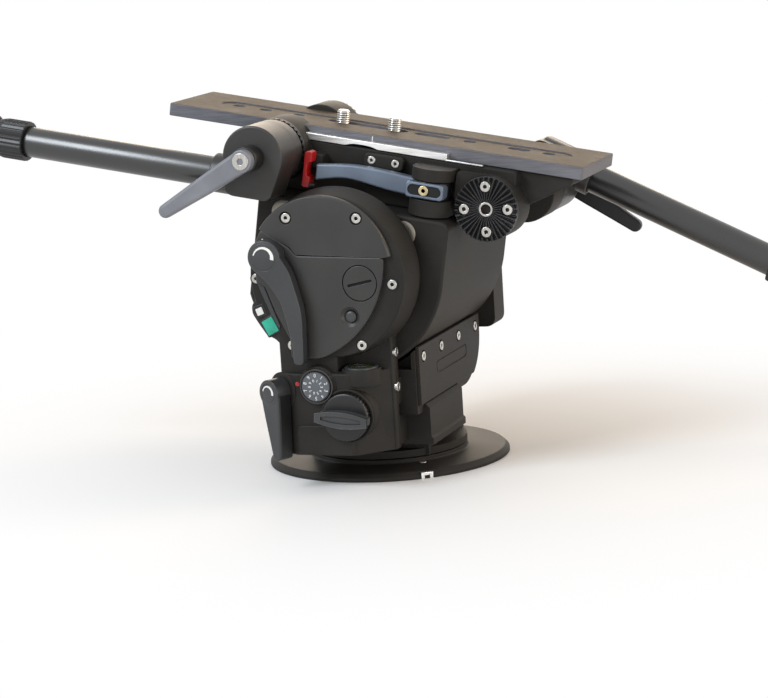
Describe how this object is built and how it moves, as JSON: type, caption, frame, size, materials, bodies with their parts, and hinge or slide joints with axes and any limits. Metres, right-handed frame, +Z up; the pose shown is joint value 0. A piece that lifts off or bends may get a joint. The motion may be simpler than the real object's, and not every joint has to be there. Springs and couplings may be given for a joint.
{
  "type": "fluid head",
  "caption": "Fluid head for a film camera: panning yoke on a flat base, tilting platform with a sliding camera plate, drag and lock controls, and two telescopic handles.",
  "frame": {"origin": "middle of the base flange's flat under face, on the pan axis", "axes": "+X to the front along the camera plate, +Y to the far side, +Z up along the pan axis"},
  "size_m": [0.7808, 0.2538, 0.2888],
  "materials": {
    "charcoal": "fine textured dark coating",
    "black": "black anodised, satin",
    "cover": "dark grey satin coating",
    "slate": "slate blue satin coating",
    "silver": "bare machined",
    "steel": "machined stainless",
    "bronze": "lapped",
    "red": "smooth",
    "green": "smooth window",
    "level": "clear cap over a vial",
    "rubber": "ribbed grip",
    "tube": "gloss black",
    "plastic": "fine textured"
  },
  "bodies": {
    "base": {"base_flange": "charcoal", "locating_key": "silver", "pan_shaft": "steel", "pan_bearings": "steel", "pan_shaft_nut": "steel", "pan_drag_rotor": "steel"},
    "pan": {"pan_yoke": "charcoal", "pan_drag_stator": "bronze", "front_panel": "charcoal", "tower_housing": "charcoal", "upper_side_cover": "cover", "lower_side_cover": "cover", "cover_screws": "steel", "display_pod": "plastic", "display_window": "green", "dial_index": "red", "bubble_level": "level", "tilt_module_housing": "charcoal", "tilt_bearings": "steel", "tilt_drag_stator": "bronze"},
    "battery": {"battery_cap": "plastic"},
    "button": {"light_button": "plastic"},
    "tilt_lock": {"tilt_lock_lever": "black"},
    "brake_pad": {"tilt_brake_pad": "bronze"},
    "pan_lock": {"pan_lock_lever": "black"},
    "pan_knob": {"pan_drag_knob": "plastic"},
    "pan_dial": {"pan_drag_dial": "slate"},
    "tilt_knob": {"tilt_drag_knob": "plastic"},
    "tilt_dial": {"tilt_drag_dial": "slate"},
    "tilt": {"tilt_body": "charcoal", "tilt_shaft": "steel", "tilt_drag_rotor": "steel", "tilt_brake_disc": "steel", "platform": "charcoal", "cheek_plugs": "silver", "rosettes": "black", "platform_screws": "steel", "clamp_block": "charcoal", "lever_bracket": "charcoal", "counterbalance_springs": "steel"},
    "crank": {"counterbalance_crank": "black"},
    "jaw": {"plate_clamp": "silver"},
    "plate": {"camera_plate": "black"},
    "front_screw": {"front_camera_screw": "silver"},
    "rear_screw": {"rear_camera_screw": "silver"},
    "release": {"release_lever": "slate"},
    "latch": {"safety_latch": "red"},
    "rear_handle": {"rear_clamp": "charcoal", "rear_handle_tube": "tube"},
    "rear_lever": {"rear_clamp_lever": "steel"},
    "rear_collar": {"rear_handle_collar": "plastic"},
    "rear_grip": {"rear_handle_rod": "steel", "rear_handle_grip": "rubber"},
    "front_handle": {"front_clamp": "charcoal", "front_handle_tube": "tube"},
    "front_lever": {"front_clamp_lever": "steel"},
    "front_collar": {"front_handle_collar": "plastic"},
    "front_grip": {"front_handle_rod": "steel", "front_handle_grip": "rubber"}
  },
  "joints": [
    {"name": "pan", "type": "hinge", "parent": "base", "child": "pan", "pos_m": [0, 0, 0.03], "axis": [0, 0, 1], "continuous": true},
    {"name": "tilt", "type": "hinge", "parent": "pan", "child": "tilt", "pos_m": [0, 0, 0.152], "axis": [0, 1, 0], "range_deg": [-58, 45]},
    {"name": "tilt_lock_turn", "type": "hinge", "parent": "pan", "child": "tilt_lock", "pos_m": [-0.04, -0.115, 0.168], "axis": [0, 1, 0], "range_deg": [0, 60]},
    {"name": "brake_press", "type": "slide", "parent": "pan", "child": "brake_pad", "axis": [0, 1, 0], "range_m": [0, 0.0004]},
    {"name": "pan_lock_turn", "type": "hinge", "parent": "pan", "child": "pan_lock", "pos_m": [-0.03834, -0.10696, 0.071], "axis": [0.4384, 0.8988, 0], "range_deg": [-15, 60]},
    {"name": "pan_drag_turn", "type": "hinge", "parent": "pan", "child": "pan_knob", "pos_m": [0.012, -0.118, 0.054], "axis": [0, -1, 0], "range_deg": [-150, 150]},
    {"name": "pan_dial_turn", "type": "hinge", "parent": "pan", "child": "pan_dial", "pos_m": [-0.0096, -0.115, 0.0753], "axis": [0, -1, 0], "range_deg": [-150, 150]},
    {"name": "tilt_drag_turn", "type": "hinge", "parent": "pan", "child": "tilt_knob", "pos_m": [0.014, 0.112, 0.126], "axis": [0, 1, 0], "range_deg": [-150, 150]},
    {"name": "tilt_dial_turn", "type": "hinge", "parent": "pan", "child": "tilt_dial", "pos_m": [-0.014, 0.11, 0.148], "axis": [0, 1, 0], "range_deg": [-150, 150]},
    {"name": "battery_cap_turn", "type": "hinge", "parent": "pan", "child": "battery", "pos_m": [0.026, -0.108, 0.148], "axis": [0, -1, 0], "range_deg": [0, 90]},
    {"name": "light_button_press", "type": "slide", "parent": "pan", "child": "button", "axis": [0, 1, 0], "range_m": [0, 0.0015], "stiffness_N_per_m": 300},
    {"name": "crank_turn", "type": "hinge", "parent": "tilt", "child": "crank", "pos_m": [-0.06963, 0, 0.18977], "axis": [0.9857, 0, -0.1685], "continuous": true},
    {"name": "release_turn", "type": "hinge", "parent": "tilt", "child": "release", "pos_m": [0.06517, -0.058, 0.2068], "axis": [0.1685, 0, 0.9857], "range_deg": [0, 75]},
    {"name": "jaw_slide", "type": "slide", "parent": "tilt", "child": "jaw", "axis": [0, -1, 0], "range_m": [0, 0.001]},
    {"name": "latch_slide", "type": "slide", "parent": "tilt", "child": "latch", "axis": [-0.1685, 0, -0.9857], "range_m": [0, 0.006], "stiffness_N_per_m": 200},
    {"name": "plate_slide", "type": "slide", "parent": "tilt", "child": "plate", "axis": [0.9857, 0, -0.1685], "range_m": [-0.06, 0.06]},
    {"name": "front_screw_turn", "type": "hinge", "parent": "plate", "child": "front_screw", "pos_m": [0.01896, 0, 0.24514], "axis": [0.1685, 0, 0.9857], "continuous": true},
    {"name": "rear_screw_turn", "type": "hinge", "parent": "plate", "child": "rear_screw", "pos_m": [-0.02047, 0, 0.25188], "axis": [0.1685, 0, 0.9857], "continuous": true},
    {"name": "rear_handle_swing", "type": "hinge", "parent": "tilt", "child": "rear_handle", "pos_m": [-0.05152, -0.062, 0.23639], "axis": [0, 1, 0], "range_deg": [-25, 60]},
    {"name": "rear_clamp_turn", "type": "hinge", "parent": "rear_handle", "child": "rear_lever", "pos_m": [-0.05152, -0.108, 0.23639], "axis": [0, 1, 0], "range_deg": [0, 60]},
    {"name": "rear_collar_turn", "type": "hinge", "parent": "rear_handle", "child": "rear_collar", "pos_m": [-0.05438, -0.0886, 0.21963], "axis": [0.9857, 0, -0.1685], "continuous": true},
    {"name": "rear_extension", "type": "slide", "parent": "rear_handle", "child": "rear_grip", "axis": [-0.9857, 0, 0.1685], "range_m": [0, 0.1]},
    {"name": "front_handle_swing", "type": "hinge", "parent": "tilt", "child": "front_handle", "pos_m": [0.10522, 0.062, 0.19184], "axis": [0, 1, 0], "range_deg": [-45, 30]},
    {"name": "front_clamp_turn", "type": "hinge", "parent": "front_handle", "child": "front_lever", "pos_m": [0.10522, 0.108, 0.19184], "axis": [0, 1, 0], "range_deg": [-60, 0]},
    {"name": "front_collar_turn", "type": "hinge", "parent": "front_handle", "child": "front_collar", "pos_m": [0.11259, 0.0886, 0.20716], "axis": [0.9011, 0, -0.4337], "continuous": true},
    {"name": "front_extension", "type": "slide", "parent": "front_handle", "child": "front_grip", "axis": [0.9011, 0, -0.4337], "range_m": [0, 0.1]}
  ],
  "couplings": [
    {"joint": "brake_press", "follows": "tilt_lock_turn", "m_per_rad": 0.00038102},
    {"joint": "pan_dial_turn", "follows": "pan_drag_turn", "ratio": 1},
    {"joint": "tilt_dial_turn", "follows": "tilt_drag_turn", "ratio": 1},
    {"joint": "jaw_slide", "follows": "release_turn", "m_per_rad": 0.00076318}
  ]
}
